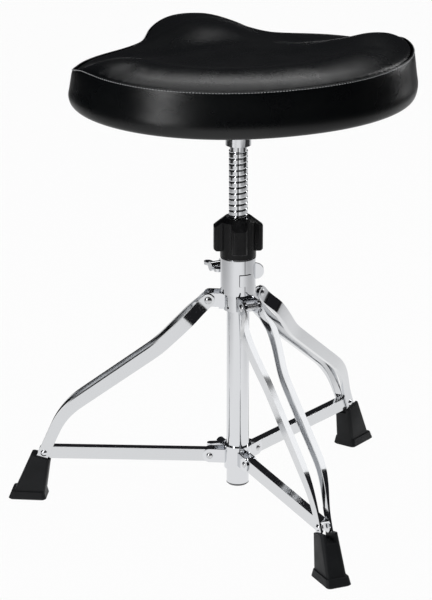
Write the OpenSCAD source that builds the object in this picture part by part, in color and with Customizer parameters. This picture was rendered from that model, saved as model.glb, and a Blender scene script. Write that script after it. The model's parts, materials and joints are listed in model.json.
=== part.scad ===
// Drum throne: a padded saddle seat on a threaded post, carried by a folding tripod.
// Millimetres, +Z up. The origin is on the axis of the post at the floor, and the nose
// of the seat points along +Y. Legs stand at -90, 30 and 150 degrees.

/* [Seat] */
// Height of the underside of the seat above the floor
seat_z = 582; // [560:1:600]
// Width of the seat across the seam
seat_w = 460; // [420:2:490]
// Reach of the seat behind the post
seat_rear = 215; // [180:1:225]
// Reach of the nose in front of the post
seat_front = 202; // [180:1:225]
// Squareness of the plan, where 2 is an ellipse
seat_square = 2.12; // [2:0.02:3]
// Turn of the seat on its swivel
seat_turn = -2.7; // [-30:0.1:30]
// Depth of the thigh cut-outs beside the nose
thigh_cut = 48; // [20:1:60]
// Fall of the seat's top towards the thigh cut-outs
thigh_drop = 21; // [8:1:32]
// Height of the side band from the underside to the seam
band_h = 63.4; // [50:0.2:75]
// How far the side band swells out below the seam
band_flare = 6; // [3:0.2:12]
// Thickness of the vinyl cover
skin_t = 2; // [1.5:0.1:3]
// Rise of the soft edge inside the seam
edge_rise = 2; // [1:0.2:8]
// Rise of the rolled bolster along the rear and sides
roll_rise = 11.6; // [4:0.2:18]
// Distance of the bolster's crest inside the seam
roll_inset = 49; // [36:1:60]
// Rise of the nose ridge
nose_rise = 5; // [3:0.5:24]
// Width of the nose ridge
nose_w = 141; // [90:1:170]
// Bluntness of the nose ridge, where 2 is a plain bell
nose_blunt = 2.3; // [2:0.1:5]
// Thickness of the plywood board
board_t = 12; // [9:1:16]

/* [Post] */
// Diameter of the threaded post
post_d = 25.4; // [23:0.2:28]
// Height of the lower end of the post
post_foot_z = 275; // [262:1:288]
// Width of the keyway along the post
key_w = 2.4; // [1.8:0.1:3.5]
// Depth of the keyway
key_depth = 1.8; // [1.2:0.1:2.5]
// Outer diameter of the seat bracket's socket
socket_d = 34.4; // [32:0.2:40]
// Length of the socket below the seat bracket's plate
socket_l = 67; // [50:1:80]
// Side of the seat bracket's plate
plate_w = 116; // [100:1:140]
// Thickness of the seat bracket's plate
plate_t = 4; // [3:0.5:6]

/* [Adjusting nut] */
// Diameter over the lobes
nut_lobe_d = 66; // [60:1:72]
// Diameter of the round core and skirt
nut_core_d = 48.4; // [46:0.2:52]
// Width of a lobe
nut_lobe_w = 21; // [16:0.5:25]
// Height of the skirt below the lobes
nut_skirt_h = 9.5; // [6:0.5:14]
// Height of the straight lobes
nut_lobe_h = 34.5; // [26:0.5:44]
// Height of the conical crown above the lobes
nut_crown_h = 11; // [6:0.5:16]
// Wall of the steel insert inside the nut
insert_wall = 3.6; // [2.5:0.1:5]

/* [Clamp sleeve] */
// Outer diameter of the sleeve
sleeve_d = 47.8; // [46:0.2:52]
// Wall of the sleeve
sleeve_wall = 3.8; // [3:0.1:4.5]
// Height of the sleeve
sleeve_h = 49; // [40:1:60]
// Distance of the clamp bolt behind the axis
clamp_bolt_y = 41; // [39:0.5:46]
// Diameter of the clamp and hub bolts
bolt_d = 8; // [6:0.5:9]
// Gap between the two clamp ears
clamp_gap = 3; // [2:0.5:5]
// Thickness of a clamp ear
clamp_ear_t = 5; // [4:0.5:7]
// Half span of the wing bolts
wing_span = 22; // [18:0.5:24]

/* [Tube and hubs] */
// Outer diameter of the main tube
tube_d = 30.6; // [29.6:0.2:33]
// Wall of the main tube
tube_wall = 1.4; // [1:0.1:1.6]
// Height of the lower end of the main tube
tube_foot_z = 34; // [28:1:40]
// Diameter of the upper hub's collar
hub_d = 40; // [37:0.5:44]
// Height of the upper hub's collar
hub_h = 24; // [18:1:30]
// Diameter of the sliding hub's collar
slider_d = 37.4; // [36:0.2:42]
// Height of the sliding hub's collar
slider_h = 32; // [24:1:36]
// Reach of the wing bolt on the sliding hub
slider_wing_r = 52; // [50:0.5:58]

/* [Legs] */
// Reach of the leg pivots from the axis
pivot_r = 39; // [37:0.5:44]
// Length of the upper run of a leg
leg_upper = 99.4; // [90:0.2:120]
// Slope of the upper run
leg_upper_a = 46; // [40:0.5:52]
// Length of the middle run
leg_mid = 162.6; // [140:0.2:180]
// Slope of the middle run
leg_mid_a = 36.5; // [30:0.5:42]
// Length of the lower run
leg_low = 108.6; // [100:0.2:120]
// Slope of the lower run
leg_low_a = 66.2; // [60:0.2:72]
// Radius of the upper bend
bend_upper_r = 150; // [80:5:200]
// Radius of the knee
bend_knee_r = 100; // [60:5:120]
// Width of a leg strip at the hub
strip_w_top = 17.5; // [15:0.5:19]
// Width of a leg strip at the foot
strip_w_foot = 15; // [13:0.5:17]
// Sheet thickness of a leg strip
strip_t = 1.8; // [1.4:0.1:2.2]
// Depth of the turned-in flanges
flange_d = 8; // [5:0.5:9]
// Outer face of a strip from the middle of the leg, at its widest
face_flare = 24; // [20:0.5:28]
// Outer face of a strip along the middle of the leg
face_mid = 17.5; // [16:0.5:20]
// Height of the strips' lower ends above the floor
leg_end_h = 30; // [24:1:36]

/* [Braces] */
// Reach of the brace pivots on the sliding hub
brace_pivot_r = 37.7; // [36:0.1:40]
// Distance of the brace rivet below the knee's corner
brace_rivet_s = 67.8; // [60:0.2:72]
// Rise of a brace from its outer rivet to the hub
brace_rise = 4.4; // [0:0.2:8]
// Width of a brace
brace_w = 12; // [10:0.2:13]
// Height of a brace
brace_h = 17; // [14:0.5:18]
// Sheet thickness of a brace
brace_t = 1.6; // [1.2:0.1:2]

/* [Feet] */
// Height of a rubber foot
foot_h = 61; // [54:1:64]
// Length of a foot at the floor
foot_l = 52; // [46:1:60]
// Width of a foot at the floor
foot_w = 35.5; // [32:0.5:40]
// Length of a foot at its top
foot_top_l = 27; // [26:0.5:32]
// Width of a foot at its top
foot_top_w = 25; // [24:0.5:30]
// Slope of a foot's top
foot_tilt = 14; // [4:1:20]
// Height of the lip round the sole
lip_h = 11; // [6:1:16]

/* [Hidden] */
$fn = 64;

// Clearances
side_gap = 0.3;
run_gap = 0.05;
seat_gap = 0.3;
cut_over = 1;

// Angles of the three legs, in the order of their names
LEGS = ["front", "right", "left"];
LEG_A = [-90, 30, 150];

// Pins and rivet heads
pivot_pin_r = 4;
pivot_head_r = 6;
brace_pin_r = 3;
slider_head_r = 4.8;
brace_head_r = 5;
head_rise = 2.4;
head_root = 0.5;
lip_depth = 0.5;

// Height of the leg pivots, which follows from the legs and the feet
pivot_z = leg_end_h + leg_upper * sin(leg_upper_a) + leg_mid * sin(leg_mid_a)
    + leg_low * sin(leg_low_a);

// Upper hub: pairs of ears that the strips straddle
ear_out = 10.8;
ear_t = 2.8;
ear_r = 9.5;
hub_rise = 10;
hub_top_z = pivot_z + hub_rise;
hub_z = hub_top_z - hub_h;

// Strip offsets at the hub and at the foot
strip_depth = strip_t + lip_depth;
face_hub = ear_out + side_gap + strip_depth;
brace_clear = 0.6;
face_foot = brace_w / 2 + brace_clear + strip_depth;
strip_lead = strip_w_top / 2;

// Leg path: three straight runs and two bends, measured along the leg from the pivot
turn_upper = leg_mid_a - leg_upper_a;
turn_knee = leg_low_a - leg_mid_a;
cut_upper = bend_upper_r * tan(abs(turn_upper) / 2);
cut_knee = bend_knee_r * tan(abs(turn_knee) / 2);
RUN = [leg_upper - cut_upper, bend_upper_r * abs(turn_upper) * PI / 180,
    leg_mid - cut_upper - cut_knee, bend_knee_r * abs(turn_knee) * PI / 180,
    leg_low - cut_knee];
SLOPE = [leg_upper_a, leg_upper_a, leg_mid_a, leg_mid_a, leg_low_a, leg_low_a];
MARK = [0, RUN[0], RUN[0] + RUN[1], RUN[0] + RUN[1] + RUN[2],
    RUN[0] + RUN[1] + RUN[2] + RUN[3]];
leg_len = MARK[4] + RUN[4];

// Point and slope after a run that starts at p and turns from slope a to slope b
function step(p, a, b, len, s) =
    let (k = (b - a) * PI / 180 / len, now = a + (b - a) * s / len)
    abs(k) < 0.000001
        ? [p[0] + s * cos(a), p[1] - s * sin(a), a]
        : [p[0] + (sin(now) - sin(a)) / k, p[1] + (cos(now) - cos(a)) / k, now];
START_0 = [pivot_r, pivot_z];
START_1 = step(START_0, SLOPE[0], SLOPE[1], RUN[0], RUN[0]);
START_2 = step(START_1, SLOPE[1], SLOPE[2], RUN[1], RUN[1]);
START_3 = step(START_2, SLOPE[2], SLOPE[3], RUN[2], RUN[2]);
START_4 = step(START_3, SLOPE[3], SLOPE[4], RUN[3], RUN[3]);
STARTS = [START_0, START_1, START_2, START_3, START_4];
function run_of(s) = s < MARK[1] ? 0 : s < MARK[2] ? 1 : s < MARK[3] ? 2 : s < MARK[4] ? 3 : 4;
function leg_at(s) =
    let (i = run_of(s))
    step(STARTS[i], SLOPE[i], SLOPE[i + 1], RUN[i], s - MARK[i]);

// Smooth blend from a to b while x goes from 0 to 1
function ease(x) = let (u = max(0, min(1, x))) u * u * (3 - 2 * u);
function blend(a, b, x) = a + (b - a) * ease(x);

// Where the strips crank out below the hub, settle, and pinch in above the foot
crank_lead = 2;
crank_run = 26;
flare_run = 8;
settle_lag = 10;
pinch_lag = 4;
crank_from = ear_r + crank_lead;
crank_to = crank_from + crank_run;
settle_from = crank_to + flare_run;
settle_to = MARK[2] + settle_lag;
rivet_s = MARK[4] - cut_knee + brace_rivet_s;
pinch_from = MARK[3] + pinch_lag;
pinch_to = rivet_s - strip_w_foot / 2;
function strip_face(s) =
    s < crank_to ? blend(face_hub, face_flare, (s - crank_from) / (crank_to - crank_from))
    : s < pinch_from ? blend(face_flare, face_mid, (s - settle_from) / (settle_to - settle_from))
    : blend(face_mid, face_foot, (s - pinch_from) / (pinch_to - pinch_from));
function strip_in(s) =
    s < pinch_from ? blend(strip_depth, flange_d, (s - crank_from) / (crank_to - crank_from))
    : blend(flange_d, strip_depth, (s - pinch_from) / (pinch_to - pinch_from));
function strip_w(s) =
    let (w = strip_w_top + (strip_w_foot - strip_w_top) * max(0, s) / leg_len)
    s < 0 ? 2 * sqrt(max(0, strip_lead * strip_lead - s * s)) : w;

// Channel section of a strip at one station, as points in the leg's own frame
function strip_spine(s) = let (p = leg_at(s)) [p[0], strip_face(s), p[1]];
function unit(v) = v / norm(v);
function strip_ring(s) =
    let (slope = leg_at(s)[2], w = strip_w(s) / 2, d = strip_in(s), t = strip_t,
        along = unit(strip_spine(s + 0.5) - strip_spine(s - 0.5)),
        across = [sin(slope), 0, cos(slope)],
        out = cross(across, along))
    [for (q = [[-w, 0], [w, 0], [w, d], [w - t, d], [w - t, t], [t - w, t], [t - w, d], [-w, d]])
        strip_spine(s) + across * q[0] - out * q[1]];
STATIONS = concat([-0.95, -0.8, -0.55, -0.25] * strip_lead,
    [for (i = [0:40]) leg_len * i / 40]);

// Brace ends: the rivet on the leg and the pivot on the sliding hub
rivet_at = leg_at(rivet_s);
rivet_r = rivet_at[0];
rivet_z = rivet_at[1];
slider_z = rivet_z + brace_rise;
brace_len = norm([rivet_r - brace_pivot_r, brace_rise]);
brace_slope = atan2(brace_rise, rivet_r - brace_pivot_r);
slider_ear_in = brace_w / 2 + side_gap;
slider_ear_t = 1.8;

// Feet: pockets for the strips and a mouth under the brace's end
slice_t = 0.4;
sole_back = 6.4;
sole_bevel = 1.5;
lip_step = 3;
lip_lean = 0.9;
top_lead = 2.5;
pocket_over = 12;
pocket_play = 0.2;
mouth_play = 0.5;
mouth_drop = 7;

// Tube, sleeve and post stack
tube_r = tube_d / 2;
tube_in_r = tube_r - tube_wall;
post_r = post_d / 2;
sleeve_r = sleeve_d / 2;
sleeve_in_r = sleeve_r - sleeve_wall;
sleeve_z = hub_top_z;
sleeve_top_z = sleeve_z + sleeve_h;
floor_t = 4;
tube_top_z = sleeve_z + floor_t;
bush_z = tube_top_z + seat_gap;
washer_t = 1;
nut_z = sleeve_top_z + seat_gap + washer_t + seat_gap;
nut_top_z = nut_z + nut_skirt_h + nut_lobe_h + nut_crown_h;
insert_r = post_r + seat_gap + insert_wall;
stop_h = 8;

// Clamp: a jaw hooked into a window at the front and drawn up by a bolt at the rear
slit_a = -92;
clamp_rise = 26;
clamp_z = sleeve_z + clamp_rise;
slit_w = 0.8;
window_w = 3.2;
window_h = 17;
window_z = clamp_z - 4;
hook_t = 1.9;
hook_a = -107;
hook_r = sleeve_r - 1.5;
tongue_t = 1.6;
tongue_play = 0.8;
tongue_end_a = hook_a - 2;
tongue_from_a = slit_a + 3;
tongue_to_a = slit_a + 22;
clamp_ear_r = 9;
tab_a = -30;
tab_r = 11;
tab_t = 3;
tab_z = clamp_z + 4;
bolt_play = 0.8;
jaw_hole_r = bolt_d / 2 + bolt_play;
clamp_nut_h = 6;
clamp_nut_r = 7.5;
wing_boss_r = 6.5;
wing_boss_l = 16;
wing_t = 4.5;
wing_root_x = 8;
wing_root_y = 4;
wing_root_r = 4.5;
wing_tip_x = 11.5;
wing_tip_r = 5.5;

// Directions of the keyway and of one lobe of the nut
key_a = -115;
key_play = 0.2;
nut_a = -111;

// Seat plan and crown
seam_z = seat_z + band_h;
thigh_a = 57.4;
thigh_side_a = 36.6;
thigh_nose_a = 15.3;
foam_gap = 0.8;
seam_gap = 0.15;
seat_steps = 60;
SEAT_A = [for (i = [0:seat_steps - 1]) 360 * i / seat_steps];
function bump(d, w) = exp(-d * d / (w * w));
function thigh(d) = thigh_cut * bump(d, d < 0 ? thigh_side_a : thigh_nose_a);
function plan_r(a) =
    let (depth = a < 180 ? seat_front : seat_rear, turn = a > 270 ? a - 360 : a,
        whole = pow(pow(abs(cos(a)) / (seat_w / 2), seat_square)
            + pow(abs(sin(a)) / depth, seat_square), -1 / seat_square))
    whole - thigh(turn - thigh_a) - thigh(180 - turn - thigh_a);
roll_half = 39;
roll_lead = 14;
edge_run = 26;
nose_from = 80;
nose_run = 160;
roll_back_y = -55;
roll_front_y = 25;
drop_from = -43;
drop_run = 118;
function nose(x) = exp(-pow(abs(x) / (nose_w / 2), nose_blunt));
function fall(x, y) = thigh_drop * ease((y - drop_from) / drop_run) * (1 - nose(x));
function crown(x, y, d) =
    edge_rise * (1 - pow(1 - min(1, max(0, d - skin_t) / edge_run), 2))
    + roll_rise * bump(d - roll_inset, roll_half) * ease((d - skin_t) / roll_lead)
        * ease((roll_front_y - y) / (roll_front_y - roll_back_y))
    + nose_rise * nose(x) * ease((y - nose_from) / nose_run)
        * ease((d - skin_t) / edge_run)
    - fall(x, y);
// Insets of the crown's rings from the seam, then shares of what is left
RING_IN = [0, skin_t, skin_t * 3, skin_t * 6, edge_run * 0.8, edge_run * 1.3,
    roll_inset, roll_inset * 1.3];
RING_SHARE = [0.78, 0.54, 0.28];
function crown_r(a, i) =
    i < len(RING_IN) ? plan_r(a) - RING_IN[i]
    : (plan_r(a) - RING_IN[len(RING_IN) - 1]) * RING_SHARE[i - len(RING_IN)];
function crown_point(a, i, drop) =
    let (r = crown_r(a, i), x = r * cos(a), y = r * sin(a))
    [x, y, seam_z + crown(x, y, plan_r(a) - r) - drop];
crown_rings = len(RING_IN) + len(RING_SHARE);
function crown_ring(i, drop) = [for (a = SEAT_A) crown_point(a, i, drop)];
// Ring round the side at an inset and a height, which sinks with the seam beside the nose
side_h = band_h - skin_t - seam_gap;
function side_point(a, inset, h) =
    let (r = plan_r(a), x = r * cos(a), y = r * sin(a))
    [(r - inset) * cos(a), (r - inset) * sin(a), seat_z + h - fall(x, y) * h / side_h];
function side_ring(inset, h) = [for (a = SEAT_A) side_point(a, inset, h)];
function level_ring(inset, z) =
    [for (a = SEAT_A) let (r = plan_r(a) - inset) [r * cos(a), r * sin(a), z]];
centre_rise = crown(0, 0, plan_r(180));
board_z = seat_z + skin_t;
board_top_z = board_z + board_t;
wrap = 18;
tuck = 6;
bulge_h = 17;
lean = 0.9;
function side_inset(share) = -band_flare * (1 - lean * share);
function share_h(share) = bulge_h + (side_h - bulge_h) * share;
// Outer profile of the side band, as inset from the seam and height above the underside
BAND = [[wrap, 0], [tuck, 0], [-band_flare * 0.2, tuck * 0.27], [-band_flare * 0.75, tuck * 1.2],
    for (share = [0, 0.25, 0.5, 0.75]) [side_inset(share), share_h(share)], [0, side_h]];
BAND_IN = [for (p = BAND) [p[0] < tuck ? p[0] + skin_t : p[0], max(skin_t, p[1])]];

// Seat bracket
plate_z = board_z - plate_t;
socket_z = plate_z - socket_l;
bracket_screw_x = 42;
screw_r = 3;
screw_head_r = 5.6;
screw_head_h = 4;
screw_l = board_t * 0.7;
rib_t = 5;
rib_reach = 32;
rib_drop = 26;
rib_tip = 3;
rib_foot = 2;
cross_bolt_z = socket_z + socket_l * 0.45;

// Closed solid through a row of rings, with flat ends or joined round on itself
module loft(rings, joined = false) {
    n = len(rings[0]);
    m = len(rings);
    last = joined ? m - 1 : m - 2;
    sides = [for (i = [0:last], j = [0:n - 1])
        let (a = i * n + j, b = i * n + (j + 1) % n,
            c = ((i + 1) % m) * n + (j + 1) % n, d = ((i + 1) % m) * n + j)
        each [[a, c, b], [a, d, c]]];
    ends = joined ? [] : [[for (j = [0:n - 1]) j], [for (j = [n - 1:-1:0]) (m - 1) * n + j]];
    polyhedron(points = [for (r = rings) each r], faces = concat(sides, ends), convexity = 6);
}

// Closed solid through rings that end in a point above and in another below; the first few rings
// split their quads along the other diagonal
module dome(rings, top, bottom, turned = 0) {
    n = len(rings[0]);
    m = len(rings);
    sides = [for (i = [0:m - 2], j = [0:n - 1])
        let (a = i * n + j, b = i * n + (j + 1) % n)
        each i < turned ? [[a, a + n, b], [b, a + n, b + n]] : [[a, b + n, b], [a, a + n, b + n]]];
    caps = [for (j = [0:n - 1])
        each [[(m - 1) * n + (j + 1) % n, (m - 1) * n + j, m * n], [j, (j + 1) % n, m * n + 1]]];
    polyhedron(points = concat([for (r = rings) each r], [top, bottom]),
        faces = concat(sides, caps), convexity = 6);
}

// Ring between two radii
module ring(r_out, r_in, h) {
    difference() {
        cylinder(r = r_out, h = h);
        translate([0, 0, -cut_over]) cylinder(r = r_in, h = h + 2 * cut_over);
    }
}

// Pie-shaped wedge from one angle to a greater one, at most half a turn
module wedge(from, to, r, h) {
    middle = (from + to) / 2;
    far = r / cos((to - from) / 4);
    linear_extrude(height = h)
        polygon([[0, 0], far * [cos(from), sin(from)],
            far * [cos((from + middle) / 2), sin((from + middle) / 2)],
            far * [cos(middle), sin(middle)],
            far * [cos((to + middle) / 2), sin((to + middle) / 2)],
            far * [cos(to), sin(to)]]);
}

// Bar along Y, at a place in the leg's own frame
module cross_pin(r, from, to) {
    translate([0, from, 0]) rotate([-90, 0, 0]) cylinder(r = r, h = to - from);
}

// Domed rivet head that sits on a face at y and points along +Y
module rivet_head(r, y) {
    translate([0, y, 0]) rotate([-90, 0, 0]) rotate_extrude()
        intersection() {
            translate([0, head_rise - r * 1.15]) circle(r = r * 1.15);
            square([r, head_rise]);
        }
}

// Plate standing along X, with a round end of radius r at the origin
module ear_plate(r, back, t) {
    translate([0, t / 2, 0]) rotate([90, 0, 0]) linear_extrude(height = t) {
        circle(r = r);
        translate([-back, -r]) square([back, 2 * r]);
    }
}

// Wing bolt along +X: boss, two wings and a shank that points back along -X
module wing_bolt(shank_l) {
    rotate([0, 90, 0]) cylinder(r = wing_boss_r, h = wing_boss_l);
    translate([-shank_l, 0, 0]) rotate([0, 90, 0]) cylinder(d = bolt_d, h = shank_l + cut_over);
    for (side = [-1, 1])
        translate([0, 0, -wing_t / 2]) linear_extrude(height = wing_t)
            hull() {
                translate([wing_root_x, side * wing_root_y]) circle(r = wing_root_r, $fn = 24);
                translate([wing_tip_x, side * (wing_span - wing_tip_r)]) circle(r = wing_tip_r, $fn = 24);
            }
}

module main_tube() {
    color("silver") translate([0, 0, tube_foot_z]) ring(tube_r, tube_in_r, tube_top_z - tube_foot_z);
}

module tube_cap() {
    rim_h = 3;
    plug_h = 12;
    color("dimgray") rotate_extrude()
        polygon([[0, tube_foot_z - rim_h], [tube_r - 2, tube_foot_z - rim_h],
            [tube_r, tube_foot_z - 1], [tube_r, tube_foot_z], [tube_in_r - run_gap, tube_foot_z],
            [tube_in_r - run_gap, tube_foot_z + plug_h], [0, tube_foot_z + plug_h]]);
}

module upper_hub() {
    back = pivot_r - tube_r - run_gap - cut_over;
    web_inset = 2;
    web_out = 3;
    color("silver") difference() {
        union() {
            translate([0, 0, hub_z]) cylinder(d = hub_d, h = hub_h);
            for (a = LEG_A) rotate(a) {
                for (side = [-1, 1])
                    translate([pivot_r, side * (ear_out - ear_t / 2), pivot_z])
                        ear_plate(ear_r, back, ear_t);
                translate([tube_r + web_inset, -ear_out, hub_z + web_inset])
                    cube([hub_d / 2 - tube_r + web_out, 2 * ear_out, hub_h - 2 * web_inset]);
            }
        }
        translate([0, 0, hub_z - cut_over]) cylinder(r = tube_r + run_gap, h = hub_h + 2 * cut_over);
        for (a = LEG_A) rotate(a) translate([pivot_r, 0, pivot_z])
            cross_pin(pivot_pin_r + run_gap, -ear_out - cut_over, ear_out + cut_over);
    }
}

module upper_rivets() {
    head_y = face_hub + side_gap;
    color("whitesmoke") for (a = LEG_A) rotate(a) translate([pivot_r, 0, pivot_z]) {
        cross_pin(pivot_pin_r, -head_y - head_root, head_y + head_root);
        for (side = [0, 1]) mirror([0, side, 0]) rivet_head(pivot_head_r, head_y);
    }
}

// Part of the sleeve's wall between two angles
module sleeve_half(from, to, r_in, z, h) {
    intersection() {
        translate([0, 0, z]) ring(sleeve_r, r_in, h);
        translate([0, 0, z]) wedge(from, to, sleeve_r + cut_over, h);
    }
}

// Clamp ear behind the sleeve, between two places along X
module clamp_ear(x) {
    root_y = sleeve_r - sleeve_wall / 2;
    translate([x, 0, clamp_z]) rotate([90, 0, 90]) linear_extrude(height = clamp_ear_t) {
        translate([clamp_bolt_y, 0]) circle(r = clamp_ear_r);
        translate([root_y, -clamp_ear_r]) square([clamp_bolt_y - root_y, 2 * clamp_ear_r]);
    }
}

module clamp_sleeve() {
    slit_half = asin(slit_w / 2 / sleeve_r);
    floor_from_a = 100;
    floor_to_a = 356 + slit_a;
    color("silver") difference() {
        union() {
            sleeve_half(90 + asin(clamp_gap / 2 / sleeve_r), 360 + slit_a - slit_half,
                sleeve_in_r, sleeve_z, sleeve_h);
            translate([0, 0, sleeve_z]) ring(sleeve_in_r - side_gap, tube_r + run_gap, floor_t);
            intersection() {
                translate([0, 0, sleeve_z]) ring(sleeve_r, tube_r + run_gap, floor_t);
                translate([0, 0, sleeve_z]) wedge(floor_from_a, floor_to_a, sleeve_r + cut_over, floor_t);
            }
            clamp_ear(-clamp_gap / 2 - clamp_ear_t);
        }
        translate([-clamp_gap - 3 * clamp_ear_t, clamp_bolt_y, clamp_z])
            rotate([0, 90, 0]) cylinder(r = bolt_d / 2 + run_gap, h = 6 * clamp_ear_t);
        rotate(hook_a) translate([0, -window_w / 2, window_z - window_h / 2])
            cube([sleeve_r + cut_over, window_w, window_h]);
    }
}

module clamp_jaw() {
    slit_half = asin(slit_w / 2 / sleeve_r);
    jaw_z = sleeve_z + side_gap;
    jaw_h = sleeve_h - side_gap;
    tongue_r = sleeve_r + side_gap;
    tongue_h = window_h - 2 * tongue_play;
    tongue_z = window_z - tongue_h / 2;
    color("silver") difference() {
        union() {
            sleeve_half(slit_a + slit_half, 90 - asin(clamp_gap / 2 / sleeve_r),
                sleeve_in_r + side_gap, jaw_z, jaw_h);
            clamp_ear(clamp_gap / 2);
            intersection() {
                translate([0, 0, tongue_z]) ring(tongue_r + tongue_t, tongue_r, tongue_h);
                translate([0, 0, tongue_z])
                    wedge(tongue_end_a, tongue_to_a, tongue_r + 2 * tongue_t, tongue_h);
            }
            intersection() {
                translate([0, 0, tongue_z]) ring(tongue_r + tongue_t, sleeve_r - 1, tongue_h);
                translate([0, 0, tongue_z])
                    wedge(tongue_from_a, tongue_to_a, tongue_r + 2 * tongue_t, tongue_h);
            }
            rotate(hook_a) translate([hook_r, 0, tongue_z]) {
                cylinder(d = hook_t, h = tongue_h);
                translate([0, -hook_t / 2, 0]) cube([tongue_r + tongue_t / 2 - hook_r, hook_t, tongue_h]);
            }
            rotate(tab_a) translate([sleeve_r, tab_t / 2, tab_z]) rotate([90, 0, 0])
                linear_extrude(height = tab_t)
                    difference() {
                        circle(r = tab_r);
                        translate([-3 * tab_r - sleeve_wall / 2, -2 * tab_r]) square([3 * tab_r, 4 * tab_r]);
                    }
        }
        translate([-cut_over, clamp_bolt_y, clamp_z])
            rotate([0, 90, 0]) cylinder(r = jaw_hole_r, h = 3 * clamp_ear_t);
    }
}

module clamp_nut() {
    x = clamp_gap / 2 + clamp_ear_t;
    color("silver") difference() {
        translate([x, clamp_bolt_y, clamp_z]) rotate([0, 90, 0])
            cylinder(r = clamp_nut_r, h = clamp_nut_h, $fn = 6);
        translate([x - cut_over, clamp_bolt_y, clamp_z])
            rotate([0, 90, 0]) cylinder(r = jaw_hole_r, h = clamp_nut_h + 2 * cut_over);
    }
}

module clamp_wing() {
    x = clamp_gap / 2 + clamp_ear_t + side_gap;
    color("silver") translate([-x, clamp_bolt_y, clamp_z]) rotate(180)
        wing_bolt(2 * x + clamp_nut_h);
}

module key_bush() {
    bush_r = sleeve_in_r - run_gap;
    bush_h = sleeve_top_z - bush_z + seat_gap;
    rib_w = key_w - 2 * key_play;
    rib_in_r = post_r - key_depth + side_gap;
    color("dimgray") {
        translate([0, 0, bush_z]) ring(bush_r, post_r + run_gap, bush_h);
        rotate(key_a) translate([rib_in_r, -rib_w / 2, bush_z])
            cube([post_r + cut_over - rib_in_r, rib_w, bush_h]);
    }
}

module thrust_washer() {
    color("whitesmoke") translate([0, 0, sleeve_top_z + seat_gap])
        ring(sleeve_r - sleeve_wall / 2, post_r + seat_gap, washer_t);
}

module threaded_post() {
    top_z = plate_z;
    chamfer = 1.5;
    color("silver") difference() {
        rotate_extrude() polygon([[0, post_foot_z], [post_r - chamfer, post_foot_z],
            [post_r, post_foot_z + chamfer], [post_r, top_z], [0, top_z]]);
        rotate(key_a) translate([post_r - key_depth, -key_w / 2, post_foot_z - cut_over])
            cube([post_r, key_w, top_z - post_foot_z + 2 * cut_over]);
    }
}

module post_stop() {
    screw_r = 4;
    disc_t = 3;
    color("dimgray") rotate_extrude()
        polygon([[0, post_foot_z - stop_h], [screw_r, post_foot_z - stop_h],
            [screw_r, post_foot_z - disc_t], [tube_in_r - side_gap, post_foot_z - disc_t],
            [tube_in_r - side_gap, post_foot_z], [0, post_foot_z]]);
}

module seat_bracket() {
    corner = 14;
    inner = plate_w / 2 - corner;
    color("silver") rotate(seat_turn) difference() {
        union() {
            translate([0, 0, socket_z]) cylinder(d = socket_d, h = plate_z - socket_z + plate_t / 2);
            translate([0, 0, plate_z]) linear_extrude(height = plate_t) {
                square([plate_w, 2 * inner], center = true);
                square([2 * inner, plate_w], center = true);
                for (x = [-1, 1], y = [-1, 1]) translate([x * inner, y * inner]) circle(r = corner);
            }
            for (a = [0:90:270]) rotate(a) translate([0, rib_t / 2, 0]) rotate([90, 0, 0])
                linear_extrude(height = rib_t)
                    polygon([[socket_d / 2 - rib_foot, plate_z + cut_over],
                        [socket_d / 2 + rib_reach, plate_z + cut_over],
                        [socket_d / 2 + rib_reach, plate_z - rib_tip],
                        [socket_d / 2 + rib_foot, plate_z - rib_drop],
                        [socket_d / 2 - rib_foot, plate_z - rib_drop]]);
        }
        translate([0, 0, socket_z - cut_over]) cylinder(r = post_r + run_gap, h = socket_l + cut_over);
        translate([0, 0, cross_bolt_z]) rotate([0, 90, 45]) cylinder(d = bolt_d + 2 * run_gap, h = socket_d);
        for (x = [-1, 1], y = [-1, 1])
            translate([x * bracket_screw_x, y * bracket_screw_x, plate_z - cut_over])
                cylinder(r = screw_r + side_gap, h = plate_t + 2 * cut_over);
    }
}

module bracket_bolt() {
    color("silver") rotate(seat_turn) translate([0, 0, cross_bolt_z]) rotate([0, 90, 45]) {
        translate([0, 0, post_r + run_gap]) cylinder(d = bolt_d, h = socket_d / 2 - post_r + cut_over);
        translate([0, 0, socket_d / 2 + side_gap]) cylinder(r = clamp_nut_r, h = clamp_nut_h, $fn = 6);
    }
}

module bracket_screws() {
    color("silver") rotate(seat_turn) for (x = [-1, 1], y = [-1, 1])
        translate([x * bracket_screw_x, y * bracket_screw_x, 0]) {
            translate([0, 0, plate_z - screw_head_h]) cylinder(r = screw_head_r, h = screw_head_h, $fn = 6);
            translate([0, 0, plate_z - cut_over]) cylinder(r = screw_r, h = cut_over + plate_t + screw_l);
        }
}

module seat_board() {
    color("burlywood") rotate(seat_turn) difference() {
        translate([0, 0, board_z]) linear_extrude(height = board_t)
            polygon([for (a = SEAT_A) (plan_r(a) - skin_t) * [cos(a), sin(a)]]);
        for (x = [-1, 1], y = [-1, 1])
            translate([x * bracket_screw_x, y * bracket_screw_x, board_z - cut_over])
                cylinder(r = screw_r + run_gap, h = screw_l + side_gap + cut_over);
    }
}

module seat_foam() {
    drop = skin_t + foam_gap;
    sides = [level_ring(drop, board_top_z), side_ring(drop + side_inset(0.5), share_h(0.5)),
        side_ring(drop, side_h - foam_gap)];
    tops = [for (i = [2:crown_rings - 1]) crown_ring(i, drop)];
    color("khaki") rotate(seat_turn) dome(concat(sides, tops), [0, 0, seam_z + centre_rise - drop],
        [0, 0, board_top_z]);
}

module seat_top() {
    under = [for (i = [crown_rings - 1:-1:0]) crown_ring(i, skin_t)];
    over = [for (i = [0:crown_rings - 1]) crown_ring(i, 0)];
    color([0.05, 0.05, 0.06]) rotate(seat_turn) dome(concat(under, over), [0, 0, seam_z + centre_rise],
        [0, 0, seam_z + centre_rise - skin_t], crown_rings);
}

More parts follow.
